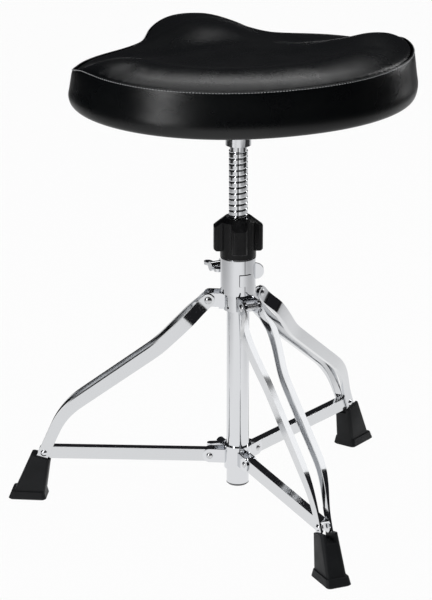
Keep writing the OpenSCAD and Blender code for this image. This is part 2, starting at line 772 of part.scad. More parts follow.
module seat_band() {
    outer = [for (p = BAND) side_ring(p[0], p[1])];
    inner = [for (i = [len(BAND_IN) - 1:-1:0]) side_ring(BAND_IN[i][0], BAND_IN[i][1])];
    color([0.07, 0.07, 0.08]) rotate(seat_turn) loft(concat(outer, inner), true);
}

// Lobed plan of the nut: a round core with four rounded lobes
module nut_plan() {
    corner = nut_lobe_w * 0.29;
    circle(d = nut_core_d);
    for (a = [0:90:270]) rotate(nut_a + a) {
        reach = nut_lobe_d / 2;
        translate([0, corner - nut_lobe_w / 2]) square([reach, nut_lobe_w - 2 * corner]);
        translate([0, -nut_lobe_w / 2]) square([reach - corner, nut_lobe_w]);
        for (side = [-1, 1]) translate([reach - corner, side * (nut_lobe_w / 2 - corner)]) circle(r = corner);
    }
}

module nut_knob() {
    lobe_z = nut_z + nut_skirt_h;
    crown_z = lobe_z + nut_lobe_h;
    bore_r = insert_r + run_gap;
    color([0.08, 0.08, 0.09]) difference() {
        union() {
            translate([0, 0, nut_z]) cylinder(d = nut_core_d, h = nut_skirt_h + 1);
            intersection() {
                translate([0, 0, lobe_z]) linear_extrude(height = nut_lobe_h + nut_crown_h) nut_plan();
                rotate_extrude() polygon([[0, lobe_z], [nut_lobe_d / 2 - 1.5, lobe_z],
                    [nut_lobe_d / 2 + 1, lobe_z + 2], [nut_lobe_d / 2 + 1, crown_z - 2],
                    [nut_lobe_d / 2 - 2, crown_z + 0.5], [bore_r + 1.5, nut_top_z], [0, nut_top_z]]);
            }
        }
        translate([0, 0, nut_z - cut_over]) cylinder(r = bore_r, h = nut_top_z - nut_z + 2 * cut_over);
    }
}

module nut_insert() {
    color("silver") translate([0, 0, nut_z]) ring(insert_r, post_r + seat_gap, nut_top_z - nut_z - 1.5);
}

module slider_hub() {
    collar_z = slider_z - slider_h / 2;
    back = brace_pivot_r - tube_r - run_gap - cut_over;
    boss_r = 7;
    boss_l = 6;
    color("silver") difference() {
        union() {
            translate([0, 0, collar_z]) cylinder(d = slider_d, h = slider_h);
            for (a = LEG_A, side = [-1, 1]) rotate(a)
                translate([brace_pivot_r, side * (slider_ear_in + slider_ear_t / 2), slider_z])
                    ear_plate(brace_h / 2 + cut_over, back, slider_ear_t);
            translate([0, tube_r + cut_over, slider_z]) rotate([-90, 0, 0])
                cylinder(r = boss_r, h = slider_d / 2 - tube_r - cut_over + boss_l);
        }
        translate([0, 0, collar_z - cut_over]) cylinder(r = tube_r + run_gap, h = slider_h + 2 * cut_over);
        for (a = LEG_A) rotate(a) translate([brace_pivot_r, 0, slider_z])
            cross_pin(brace_pin_r + run_gap, -brace_w, brace_w);
        translate([0, tube_r, slider_z]) rotate([-90, 0, 0])
            cylinder(r = bolt_d / 2 + run_gap, h = slider_d);
    }
}

module slider_rivets() {
    head_y = slider_ear_in + slider_ear_t;
    color("whitesmoke") for (a = LEG_A) rotate(a) translate([brace_pivot_r, 0, slider_z]) {
        cross_pin(brace_pin_r, -head_y - head_root, head_y + head_root);
        for (side = [0, 1]) mirror([0, side, 0]) rivet_head(slider_head_r, head_y);
    }
}

module slider_wing() {
    boss_y = slider_wing_r - wing_tip_x;
    color("silver") translate([0, boss_y, slider_z]) rotate([0, 0, 90])
        wing_bolt(boss_y - tube_r - side_gap);
}

// One strip of a leg; side is 1 or -1
module leg_strip(a, side) {
    color("gainsboro") rotate(a) mirror([0, side < 0 ? 1 : 0, 0]) difference() {
        loft([for (s = STATIONS) strip_ring(s)]);
        translate([pivot_r, 0, pivot_z]) cross_pin(pivot_pin_r + run_gap, 0, face_hub + cut_over);
        translate([rivet_r, 0, rivet_z]) cross_pin(brace_pin_r + run_gap, 0, face_foot + cut_over);
    }
}

// Rivet ends on the strips, flush with the inner faces so that the brace stays free between them
module leg_rivets(a) {
    inner_y = face_foot - strip_t;
    color("whitesmoke") rotate(a) translate([rivet_r, 0, rivet_z]) for (side = [0, 1])
        mirror([0, side, 0]) {
            cross_pin(brace_pin_r, inner_y, face_foot + head_root);
            rivet_head(brace_head_r, face_foot);
        }
}

module brace(a) {
    end_r = brace_h / 2;
    wall_in = brace_w / 2 - brace_t;
    color("gainsboro") rotate(a) translate([brace_pivot_r, 0, slider_z]) rotate([0, brace_slope, 0])
        difference() {
            translate([0, brace_w / 2, 0]) rotate([90, 0, 0]) linear_extrude(height = brace_w) {
                circle(r = end_r);
                translate([0, -end_r]) square([brace_len, brace_h]);
                translate([brace_len, 0]) circle(r = end_r);
            }
            translate([-brace_h, -wall_in, -brace_h])
                cube([brace_len + 2 * brace_h, 2 * wall_in, brace_h + end_r - brace_t]);
            for (x = [0, brace_len]) translate([x, 0, 0]) cross_pin(brace_pin_r + run_gap, -brace_w, brace_w);
        }
}

// Rounded plate of a foot, at a height and a tilt
module foot_slice(r, z, l, w, tilt) {
    corner = 5;
    translate([r, 0, z]) rotate([0, -tilt, 0]) for (x = [-1, 1], y = [-1, 1])
        translate([x * (l / 2 - corner), y * (w / 2 - corner), 0])
            cylinder(r = corner, h = slice_t, $fn = 32);
}

module foot(a) {
    end = leg_at(leg_len);
    top_s = leg_len - (foot_h - leg_end_h) / sin(leg_low_a);
    top = leg_at(top_s);
    sole_r = end[0] + leg_end_h / tan(leg_low_a) - sole_back;
    pocket_l = leg_len - top_s + pocket_over;
    pocket_t = strip_depth + 2 * run_gap;
    pocket_w = strip_w_foot + 2 * pocket_play;
    color([0.09, 0.09, 0.1]) rotate(a) difference() {
        union() {
            hull() {
                foot_slice(sole_r, slice_t, foot_l - 2 * lip_step, foot_w - 2 * lip_step, 0);
                foot_slice(top[0] + top_lead, top[1] - slice_t, foot_top_l, foot_top_w, foot_tilt);
            }
            hull() {
                foot_slice(sole_r, 0, foot_l - 2 * sole_bevel, foot_w - 2 * sole_bevel, 0);
                foot_slice(sole_r, sole_bevel, foot_l, foot_w, 0);
                foot_slice(sole_r - lip_lean, lip_h, foot_l - 2 * lip_step, foot_w - 2 * sole_bevel, 0);
            }
        }
        for (side = [-1, 1]) translate([end[0], 0, end[1]]) rotate([0, leg_low_a, 0])
            translate([-pocket_l, side * (face_foot - strip_depth / 2) - pocket_t / 2, -pocket_w / 2])
                cube([pocket_l + run_gap, pocket_t, pocket_w]);
        translate([rivet_r - foot_l, -brace_w / 2 - mouth_play, rivet_z - brace_h / 2 - mouth_drop])
            cube([2 * foot_l, brace_w + 2 * mouth_play, foot_h]);
    }
}

main_tube();
tube_cap();
upper_hub();
upper_rivets();
clamp_sleeve();
key_bush();
thrust_washer();
threaded_post();
post_stop();
seat_bracket();
bracket_bolt();
bracket_screws();
seat_board();
seat_foam();
seat_top();
seat_band();
nut_knob();
nut_insert();
clamp_jaw();
clamp_nut();
clamp_wing();
slider_hub();
slider_rivets();
slider_wing();
for (i = [0:len(LEGS) - 1]) {
    leg_strip(LEG_A[i], 1);
    leg_strip(LEG_A[i], -1);
    leg_rivets(LEG_A[i]);
    foot(LEG_A[i]);
    brace(LEG_A[i]);
}
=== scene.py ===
import bisect
import json
import math
import bmesh
import bpy
from mathutils import Matrix, Vector


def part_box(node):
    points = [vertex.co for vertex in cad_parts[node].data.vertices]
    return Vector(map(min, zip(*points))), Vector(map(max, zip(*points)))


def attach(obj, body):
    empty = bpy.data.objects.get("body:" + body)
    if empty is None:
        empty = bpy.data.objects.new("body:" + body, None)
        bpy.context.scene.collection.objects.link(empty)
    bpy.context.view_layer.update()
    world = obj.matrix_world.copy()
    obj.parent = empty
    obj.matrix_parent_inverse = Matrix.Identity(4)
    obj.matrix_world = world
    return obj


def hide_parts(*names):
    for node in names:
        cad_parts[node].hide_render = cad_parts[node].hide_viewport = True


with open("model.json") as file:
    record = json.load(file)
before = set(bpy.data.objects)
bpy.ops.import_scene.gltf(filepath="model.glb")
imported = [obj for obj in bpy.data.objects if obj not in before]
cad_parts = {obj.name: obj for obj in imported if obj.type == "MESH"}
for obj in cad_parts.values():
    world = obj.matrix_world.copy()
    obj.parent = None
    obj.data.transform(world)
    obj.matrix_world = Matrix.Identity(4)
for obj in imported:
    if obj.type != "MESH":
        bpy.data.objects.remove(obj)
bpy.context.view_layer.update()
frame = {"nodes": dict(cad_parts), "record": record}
NODES = frame["nodes"]
BODY_OF = {node: body for body, nodes in frame["record"]["behaviour"]["bodies"].items() for node in nodes}
LEGS = ("front", "right", "left")

# Camera, fitted to the photograph's view
CAMERA_AT = (-1.7784, -3.8335, 1.7500)
CAMERA_HEADING = (0.41447, 0.91006)
CAMERA_PITCH = math.radians(18.998)
CAMERA_LENS = 199.37

# Paper under the object, along the camera's heading, and how far aside its painted glow, which only the metal sees,
# is bright and dim
PAPER_FROM = -2.0
PAPER_TO = 5.0
PAPER_WIDTH = 3.0
PAPER_THICKNESS = 0.001
PAPER_WHITE = 0.985
PAPER_BRIGHT = 0.30
PAPER_DIM = 1.10

# Room round it, and its lamps: place, target, width, height, watts
ROOM = (0.016, 0.016, 0.018)
FLOOR_RADIUS = 9.0
LAMPS = {
    "ceiling_box": ((0.0, -0.2, 2.6), (0.0, -0.2, 0.0), 3.4, 3.2, 44.0),
    "seat_box": ((0.42, 0.90, 2.05), (-0.05, -0.17, 0.65), 1.3, 0.35, 4.2),
    "left_strip": ((-2.0, -0.9, 1.1), (0, 0, 0.4), 0.5, 1.8, 18.0),
    "right_strip": ((2.1, 0.3, 1.2), (0, 0, 0.4), 0.4, 1.8, 12.0),
}

# Threaded post: the groove's half width is a share of the pitch, and the keyway lies a count of steps from +X
THREAD_PITCH = 0.008
THREAD_DEPTH = 0.0012
THREAD_GROOVE = 0.07
THREAD_TOP = 0.505
THREAD_STEPS = 96
THREAD_POINTS = 12
KEY_STEP = -31
KEY_DEPTH = 0.0034
THREAD_SHARP = math.radians(50)

# Seat cushion and seam
CUSHION_VOXEL = 0.005
CUSHION_PRESSURE = 4.0
CUSHION_FRAMES = 20
CUSHION_CAP = 0.0010
CUSHION_EVEN = 10
EVEN_INSIDE = (0.004, 0.012)
COVER_OVER_FOAM = 0.0026
COVER_INSIDE_BAND = 0.0045
PIN_BELOW_SEAM = 0.005
NOSE_SWELL = 0.010
NOSE_X = -0.012
NOSE_WIDTH = 0.060
NOSE_NEAR = (0.015, 0.085)
NOSE_FAR = (0.100, 0.190)
STITCH_LENGTH = 0.0030
STITCH_GAP = 0.0011
STITCH_RADIUS = 0.00050
STITCH_OUT = 0.0004
STITCH_SIDES = 8
STITCH_RINGS = 5
BAND_SHARP = math.radians(60)

# Black disc in the upper hub's screw hole, painted shade of the hole: its middle's reach from the tube's axis
HOLE_SHADE_ANGLE = math.radians(-157)
HOLE_SHADE_HEIGHT = Vector((0, 0, 0.2888))
HOLE_SHADE_RADIUS = 0.0017
HOLE_SHADE_LENGTH = 0.0024
HOLE_SHADE_REACH = 0.0193

# Broken edges
SHEET_EDGE = 0.0004
BRACE_EDGE = 0.0005
PLATE_EDGE = 0.0006
MOULDED_EDGE = 0.0015

# Mesh work
WELD = 0.00001
FLAT_ANGLE = math.radians(1.0)
SHARP_ANGLE = math.radians(32)
ALL_SMOOTH = math.radians(180)
JOIN_FOLD = math.radians(40)
JOIN_SKEW = math.radians(60)
FORM_LEVELS = 2


# Shader node groups

def new_group(name, inputs, outputs):
    """Empty shader node group with float inputs {name: default} and named outputs."""
    group = bpy.data.node_groups.new(name, "ShaderNodeTree")
    for label, default in inputs.items():
        socket = group.interface.new_socket(label, in_out="INPUT", socket_type="NodeSocketFloat")
        socket.default_value = default
    for label in outputs:
        group.interface.new_socket(label, in_out="OUTPUT", socket_type="NodeSocketFloat")
    return group, group.nodes.new("NodeGroupInput"), group.nodes.new("NodeGroupOutput")


def smudge_group():
    """Roughness that drifts between two values, as handling leaves it on a smooth finish."""
    group, into, out = new_group("smudges", {"Scale": 20.0, "Low": 0.05, "High": 0.10}, ["Roughness"])
    nodes, links = group.nodes, group.links
    coords = nodes.new("ShaderNodeTexCoord")
    noise = nodes.new("ShaderNodeTexNoise")
    noise.inputs["Detail"].default_value = 4.0
    spread = nodes.new("ShaderNodeMapRange")
    spread.inputs["From Min"].default_value = 0.35
    spread.inputs["From Max"].default_value = 0.65
    links.new(coords.outputs["Object"], noise.inputs["Vector"])
    links.new(into.outputs["Scale"], noise.inputs["Scale"])
    links.new(noise.outputs["Fac"], spread.inputs["Value"])
    links.new(into.outputs["Low"], spread.inputs["To Min"])
    links.new(into.outputs["High"], spread.inputs["To Max"])
    links.new(spread.outputs["Result"], out.inputs["Roughness"])
    return group


def grain_group():
    """Pebbled grain: rounded cells of uneven size, as a height and as a mask of the creases."""
    group, into, out = new_group("pebble_grain", {"Scale": 900.0, "Unevenness": 0.35}, ["Height", "Crease"])
    nodes, links = group.nodes, group.links
    coords = nodes.new("ShaderNodeTexCoord")
    cells = nodes.new("ShaderNodeTexVoronoi")
    cells.feature = "DISTANCE_TO_EDGE"
    rise = nodes.new("ShaderNodeMapRange")
    rise.inputs["From Max"].default_value = 0.18
    noise = nodes.new("ShaderNodeTexNoise")
    noise.inputs["Detail"].default_value = 3.0
    uneven = nodes.new("ShaderNodeMath")
    uneven.operation = "MULTIPLY"
    total = nodes.new("ShaderNodeMath")
    total.operation = "ADD"
    crease = nodes.new("ShaderNodeMath")
    crease.operation = "SUBTRACT"
    crease.inputs[0].default_value = 1.0
    links.new(coords.outputs["Object"], cells.inputs["Vector"])
    links.new(coords.outputs["Object"], noise.inputs["Vector"])
    links.new(into.outputs["Scale"], cells.inputs["Scale"])
    links.new(into.outputs["Scale"], noise.inputs["Scale"])
    links.new(cells.outputs["Distance"], rise.inputs["Value"])
    links.new(noise.outputs["Fac"], uneven.inputs[0])
    links.new(into.outputs["Unevenness"], uneven.inputs[1])
    links.new(rise.outputs["Result"], total.inputs[0])
    links.new(uneven.outputs["Value"], total.inputs[1])
    links.new(rise.outputs["Result"], crease.inputs[1])
    links.new(total.outputs["Value"], out.inputs["Height"])
    links.new(crease.outputs["Value"], out.inputs["Crease"])
    return group


SMUDGES = smudge_group()
GRAIN = grain_group()


# Materials

def new_material(name, color, metallic=0.0):
    """Material with a Principled shader of one plain colour; returns it with its tree and shader."""
    material = bpy.data.materials.new(name)
    material.use_nodes = True
    tree = material.node_tree
    shader = tree.nodes["Principled BSDF"]
    shader.inputs["Base Color"].default_value = (*color, 1.0)
    shader.inputs["Metallic"].default_value = metallic
    return material, tree, shader


def use_group(tree, group, **values):
    node = tree.nodes.new("ShaderNodeGroup")
    node.node_tree = group
    for label, value in values.items():
        node.inputs[label].default_value = value
    return node


def smudge_roughness(tree, shader, scale, low, high):
    node = use_group(tree, SMUDGES, Scale=scale, Low=low, High=high)
    tree.links.new(node.outputs["Roughness"], shader.inputs["Roughness"])


def noise_texture(tree, scale, detail=3.0, stretch=(1.0, 1.0, 1.0)):
    """Noise on Object coordinates, stretched along an axis where its factor is small."""
    coords = tree.nodes.new("ShaderNodeTexCoord")
    mapping = tree.nodes.new("ShaderNodeMapping")
    mapping.inputs["Scale"].default_value = stretch
    noise = tree.nodes.new("ShaderNodeTexNoise")
    noise.inputs["Scale"].default_value = scale
    noise.inputs["Detail"].default_value = detail
    tree.links.new(coords.outputs["Object"], mapping.inputs["Vector"])
    tree.links.new(mapping.outputs["Vector"], noise.inputs["Vector"])
    return noise


def bump(tree, shader, height, distance, strength=1.0):
    node = tree.nodes.new("ShaderNodeBump")
    node.inputs["Strength"].default_value = strength
    node.inputs["Distance"].default_value = distance
    tree.links.new(height, node.inputs["Height"])
    tree.links.new(node.outputs["Normal"], shader.inputs["Normal"])


def two_tone(tree, shader, factor, low, high):
    """Base colour that runs between two colours with a factor."""
    ramp = tree.nodes.new("ShaderNodeValToRGB")
    ramp.color_ramp.elements[0].color = (*low, 1.0)
    ramp.color_ramp.elements[1].color = (*high, 1.0)
    ramp.color_ramp.elements[0].position = 0.3
    ramp.color_ramp.elements[1].position = 0.7
    tree.links.new(factor, ramp.inputs["Fac"])
    tree.links.new(ramp.outputs["Color"], shader.inputs["Base Color"])


def plated(name, color, low, high, ripple):
    """Plated metal: polish that drifts a little, over sheet that isn't quite flat."""
    material, tree, shader = new_material(name, color, metallic=1.0)
    smudge_roughness(tree, shader, 35.0, low, high)
    waves = noise_texture(tree, 45.0, detail=1.0)
    bump(tree, shader, waves.outputs["Fac"], ripple)
    return material


def zinc_steel():
    material, tree, shader = new_material("zinc_steel", (0.60, 0.61, 0.62), metallic=1.0)
    smudge_roughness(tree, shader, 90.0, 0.22, 0.36)
    specks = noise_texture(tree, 400.0)
    two_tone(tree, shader, specks.outputs["Fac"], (0.52, 0.53, 0.55), (0.70, 0.70, 0.70))
    bump(tree, shader, specks.outputs["Fac"], 0.00004)
    return material


def moulded(name, low, high, rough_low, rough_high, grain_scale, grain_depth):
    """Moulded plastic or rubber: a fine spark texture and a colour that varies a little."""
    material, tree, shader = new_material(name, low)
    shader.inputs["Specular IOR Level"].default_value = 0.22
    smudge_roughness(tree, shader, 30.0, rough_low, rough_high)
    cloud = noise_texture(tree, 25.0)
    two_tone(tree, shader, cloud.outputs["Fac"], low, high)
    grain = use_group(tree, GRAIN, Scale=grain_scale, Unevenness=0.6)
    bump(tree, shader, grain.outputs["Height"], grain_depth)
    return material


def grained_vinyl():
    material, tree, shader = new_material("grained_vinyl", (0.003, 0.0035, 0.004))
    shader.inputs["Specular IOR Level"].default_value = 0.40
    smudge_roughness(tree, shader, 14.0, 0.25, 0.31)
    grain = use_group(tree, GRAIN, Scale=850.0, Unevenness=0.35)
    # The grain's creases take the darker colour: painted shade in the creases
    two_tone(tree, shader, grain.outputs["Crease"], (0.0038, 0.0046, 0.0052), (0.0018, 0.0022, 0.0026))
    bump(tree, shader, grain.outputs["Height"], 0.00003)
    return material


def stitch_yarn():
    material, tree, shader = new_material("stitch_yarn", (0.45, 0.46, 0.47))
    shader.inputs["Roughness"].default_value = 0.8
    fibres = noise_texture(tree, 3000.0)
    two_tone(tree, shader, fibres.outputs["Fac"], (0.36, 0.37, 0.38), (0.58, 0.59, 0.60))
    bump(tree, shader, fibres.outputs["Fac"], 0.0001)
    return material


def stained_plywood():
    material, tree, shader = new_material("stained_plywood", (0.020, 0.019, 0.018))
    smudge_roughness(tree, shader, 40.0, 0.60, 0.78)
    fibres = noise_texture(tree, 60.0, detail=6.0, stretch=(0.12, 1.0, 12.0))
    two_tone(tree, shader, fibres.outputs["Fac"], (0.014, 0.013, 0.012), (0.032, 0.030, 0.028))
    bump(tree, shader, fibres.outputs["Fac"], 0.0003)
    return material


MIRROR_CHROME = plated("mirror_chrome", (0.70, 0.71, 0.73), 0.03, 0.07, 0.00006)
SHEET_CHROME = plated("sheet_chrome", (0.66, 0.67, 0.685), 0.08, 0.15, 0.00004)
ZINC_STEEL = zinc_steel()
BLACK_PLASTIC = moulded("black_plastic", (0.004, 0.004, 0.0045), (0.007, 0.007, 0.008), 0.26, 0.36, 1600.0, 0.00003)
# Near-black material for the keyway's faces: painted shade inside the slot
KEYWAY_SHADE = moulded("keyway_painted_shade", (0.006, 0.006, 0.006), (0.012, 0.012, 0.012), 0.45, 0.60, 900.0, 0.00003)
GREY_NYLON = moulded("grey_nylon", (0.18, 0.18, 0.19), (0.24, 0.24, 0.25), 0.40, 0.52, 1400.0, 0.00003)
BLACK_RUBBER = moulded("black_rubber", (0.010, 0.011, 0.012), (0.015, 0.016, 0.018), 0.46, 0.58, 1100.0, 0.00005)
VINYL = grained_vinyl()
YARN = stitch_yarn()
PLYWOOD = stained_plywood()


# Piece helpers

def new_object(name, bm, material):
    mesh = bpy.data.meshes.new(name)
    bm.to_mesh(mesh)
    bm.free()
    mesh.materials.append(material)
    obj = bpy.data.objects.new(name, mesh)
    bpy.context.scene.collection.objects.link(obj)
    return obj


def shade(obj, sharp=SHARP_ANGLE):
    """Smooth shading that keeps the edges sharper than an angle."""
    for face in obj.data.polygons:
        face.use_smooth = True
    obj.data.set_sharp_from_angle(angle=sharp)


def dress(node, material):
    """Keeps a CAD node as it is, with a better material."""
    materials = NODES[node].data.materials
    materials.clear()
    materials.append(material)


def stand_for(piece, *nodes):
    """The piece takes the place of CAD nodes of one body, and rides as the first does."""
    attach(piece, BODY_OF[nodes[0]])
    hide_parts(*nodes)


def welded_copy(node):
    """bmesh of a CAD node with its loose triangles joined and its flat faces whole."""
    bm = bmesh.new()
    bm.from_mesh(NODES[node].data)
    bmesh.ops.remove_doubles(bm, verts=bm.verts, dist=WELD)
    bmesh.ops.dissolve_limit(bm, angle_limit=FLAT_ANGLE, verts=bm.verts, edges=bm.edges)
    return bm


def break_edges(piece, width, segments):
    bevel = piece.modifiers.new("broken_edges", "BEVEL")
    bevel.limit_method = "ANGLE"
    bevel.angle_limit = SHARP_ANGLE
    bevel.width = width
    bevel.segments = segments
    bevel.use_clamp_overlap = True
    bevel.harden_normals = True


def soften(node, material, width, segments=2):
    """Stands for a CAD node with the same shape, its edges broken as a real piece's are."""
    piece = new_object("soft_" + node, welded_copy(node), material)
    shade(piece)
    break_edges(piece, width, segments)
    stand_for(piece, node)


def apply_modifiers(obj):
    """Makes the mesh what its modifiers give at the current frame, and removes them."""
    depsgraph = bpy.context.evaluated_depsgraph_get()
    mesh = bpy.data.meshes.new_from_object(obj.evaluated_get(depsgraph))
    obj.modifiers.clear()
    obj.data = mesh


def subdivide(obj, levels):
    modifier = obj.modifiers.new("smooth_form", "SUBSURF")
    modifier.levels = levels
    modifier.render_levels = levels


def subdivide_through(obj, levels, rounds=3):
    """Subdivision whose surface keeps passing through the points of the mesh."""
    goal = [vertex.co.copy() for vertex in obj.data.vertices]
    subdivide(obj, levels)
    for _ in range(rounds):
        depsgraph = bpy.context.evaluated_depsgraph_get()
        reached = [vertex.co.copy() for vertex in obj.evaluated_get(depsgraph).data.vertices[:len(goal)]]
        for vertex, wanted, got in zip(obj.data.vertices, goal, reached):
            vertex.co += wanted - got
        obj.data.update()


def joined_copy(node):
    """bmesh of a CAD node with its triangles joined into the four-sided faces they came from."""
    bm = bmesh.new()
    bm.from_mesh(NODES[node].data)
    bmesh.ops.remove_doubles(bm, verts=bm.verts, dist=WELD)
    bmesh.ops.join_triangles(bm, faces=bm.faces, angle_face_threshold=JOIN_FOLD,
                             angle_shape_threshold=JOIN_SKEW)
    return bm


def pressed(node, material):
    """Stands for a CAD node of pressed sheet: its bends run smoothly, its edges stay firm and are broken."""
    bm = joined_copy(node)
    firm = bm.edges.layers.float.new("crease_edge")
    for edge in bm.edges:
        if edge.calc_face_angle(math.pi) > SHARP_ANGLE:
            edge[firm] = 1.0
    piece = new_object("pressed_" + node, bm, material)
    shade(piece)
    subdivide(piece, FORM_LEVELS)
    break_edges(piece, SHEET_EDGE, 2)
    stand_for(piece, node)


# Seat

def seam_outline():
    """Points of the seam in order round the seat: the outer rim at the top of the side band."""
    rim = {}
    for vertex in NODES["seat_band"].data.vertices:
        spoke = round(math.degrees(math.atan2(vertex.co.y, vertex.co.x)))
        known = rim.get(spoke)
        higher = known is None or vertex.co.z > known.z + WELD
        if higher or (vertex.co.z > known.z - WELD and vertex.co.xy.length > known.xy.length):
            rim[spoke] = vertex.co.copy()
    return [rim[spoke] for spoke in sorted(rim)]


def smooth_loop(points, steps):
    """Closed curve through points, with steps places between each pair."""
    count = len(points)
    loop = []
    for i in range(count):
        before, here, after, later = (points[(i + k) % count] for k in (-1, 0, 1, 2))
        for step in range(steps):
            t = step / steps
            loop.append(0.5 * (2 * here + (after - before) * t
                               + (2 * before - 5 * here + 4 * after - later) * t ** 2
                               + (3 * here - before - 3 * after + later) * t ** 3))
    return loop


def even_places(loop, spacing):
    """Places and directions at even spacing along a closed curve."""
    lengths = [(loop[(i + 1) % len(loop)] - loop[i]).length for i in range(len(loop))]
    count = round(sum(lengths) / spacing)
    pitch = sum(lengths) / count
    places, travelled, target = [], 0.0, 0.0
    for i, length in enumerate(lengths):
        ahead = loop[(i + 1) % len(loop)] - loop[i]
        while target < travelled + length and len(places) < count:
            places.append((loop[i] + ahead * ((target - travelled) / length), ahead.normalized()))
            target += pitch
        travelled += length
    return places


SEAM = smooth_loop(seam_outline(), 8)
SEAM_BY_ANGLE = sorted((math.atan2(point.y, point.x), point.xy.length, point.z) for point in SEAM)


def from_seam(co):
    """How far a point lies inside the seam and above it, at the same bearing from the post."""
    place = bisect.bisect(SEAM_BY_ANGLE, (math.atan2(co.y, co.x),))
    _, reach, height = SEAM_BY_ANGLE[place % len(SEAM_BY_ANGLE)]
    return reach - co.xy.length, co.z - height


def seat_cushion():
    """Padded top: the foam in its cover, blown up as cloth, held below the seam, its swelling capped."""
    cushion = new_object("seat_cushion", joined_copy("seat_foam"), VINYL)
    subdivide_through(cushion, FORM_LEVELS)
    apply_modifiers(cushion)
    remesh = cushion.modifiers.new("even_mesh", "REMESH")
    remesh.mode = "VOXEL"
    remesh.voxel_size = CUSHION_VOXEL
    apply_modifiers(cushion)
    even_out(cushion)
    draw_cover(cushion)
    swell(cushion)
    even_out(cushion)
    subdivide(cushion, 1)
    shade(cushion, ALL_SMOOTH)
    stand_for(cushion, "seat_top", "seat_foam")
    return cushion


def even_out(cushion):
    """Takes the small steps and dents out of the top, and leaves its edge at the seam where it is."""
    cushion.vertex_groups.clear()
    inner = cushion.vertex_groups.new(name="inner")
    for vertex in cushion.data.vertices:
        inner.add([vertex.index], ease(from_seam(vertex.co)[0], *EVEN_INSIDE), "REPLACE")
    smooth = cushion.modifiers.new("evened", "SMOOTH")
    smooth.factor = 0.5
    smooth.iterations = CUSHION_EVEN
    smooth.vertex_group = inner.name
    apply_modifiers(cushion)


def ease(value, low, high):
    """Runs from 0 to 1 as a value passes from low to high, level at both ends."""
    share = min(1.0, max(0.0, (value - low) / (high - low)))
    return share * share * (3.0 - 2.0 * share)


def nose_swell(co):
    """Rise of the padding between the thighs, steepest on the side of the sitter."""
    across = math.exp(-((co.x - NOSE_X) / NOSE_WIDTH) ** 2)
    return NOSE_SWELL * across * ease(co.y, *NOSE_NEAR) * (1.0 - ease(co.y, *NOSE_FAR))


def draw_cover(cushion):
    """Moves the foam's surface out to the cover's above the seam, and in behind the side band below it."""
    normals = [vertex.normal.copy() for vertex in cushion.data.vertices]
    for vertex, normal in zip(cushion.data.vertices, normals):
        share = min(1.0, max(0.0, from_seam(vertex.co)[1] / PIN_BELOW_SEAM + 1.0))
        vertex.co += normal * COVER_OVER_FOAM * share
        vertex.co.z += nose_swell(vertex.co) * share * max(0.0, normal.z)
        short = COVER_INSIDE_BAND * (1.0 - share) - from_seam(vertex.co)[0]
        if share < 1.0 and short > 0.0:
            vertex.co.xy *= 1.0 - short / vertex.co.xy.length


def swell(cushion):
    """Cloth under pressure; no point moves further than the cap."""
    start = [vertex.co.copy() for vertex in cushion.data.vertices]
    held = cushion.vertex_groups.new(name="held")
    held.add([i for i, co in enumerate(start) if from_seam(co)[1] < -PIN_BELOW_SEAM], 1.0, "REPLACE")
    cloth = cushion.modifiers.new("cover", "CLOTH")
    cloth.settings.vertex_group_mass = "held"
    cloth.settings.use_pressure = True
    cloth.settings.uniform_pressure_force = CUSHION_PRESSURE
    cloth.settings.effector_weights.gravity = 0.0
    for now in range(1, CUSHION_FRAMES + 1):
        bpy.context.scene.frame_set(now)
    apply_modifiers(cushion)
    for vertex, co in zip(cushion.data.vertices, start):
        move = vertex.co - co
        if move.length > CUSHION_CAP:
            vertex.co = co + move * (CUSHION_CAP / move.length)
    bpy.context.scene.frame_set(1)


def seat_side_band():
    """Side of the cover, stretched over the foam and tucked under the board."""
    band = new_object("seat_side_band", joined_copy("seat_band"), VINYL)
    subdivide_through(band, FORM_LEVELS)
    shade(band, BAND_SHARP)
    stand_for(band, "seat_band")


def seam_stitches():
    """Row of stitches that sews the top to the side band."""
    bm = bmesh.new()
    for place, ahead in even_places(SEAM, STITCH_LENGTH + STITCH_GAP):
        outward = Vector((ahead.y, -ahead.x, 0.0)).normalized()
        at = Matrix.Translation(place + outward * STITCH_OUT)
        turn = ahead.to_track_quat("X", "Z").to_matrix().to_4x4()
        size = Matrix.Diagonal((STITCH_LENGTH / 2, STITCH_RADIUS, STITCH_RADIUS, 1.0))
        bmesh.ops.create_uvsphere(bm, u_segments=STITCH_SIDES, v_segments=STITCH_RINGS, radius=1.0,
                                  matrix=at @ turn @ size)
    stitches = new_object("seam_stitches", bm, YARN)
    shade(stitches, ALL_SMOOTH)
    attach(stitches, BODY_OF["seat_band"])


# Post

def thread_radius(share, radius):
    """Radius at a share of one pitch: rounded crests with a narrow groove between them."""
    from_groove = min(share, 1.0 - share)
    return radius - THREAD_DEPTH * math.exp(-((from_groove / THREAD_GROOVE) ** 2))


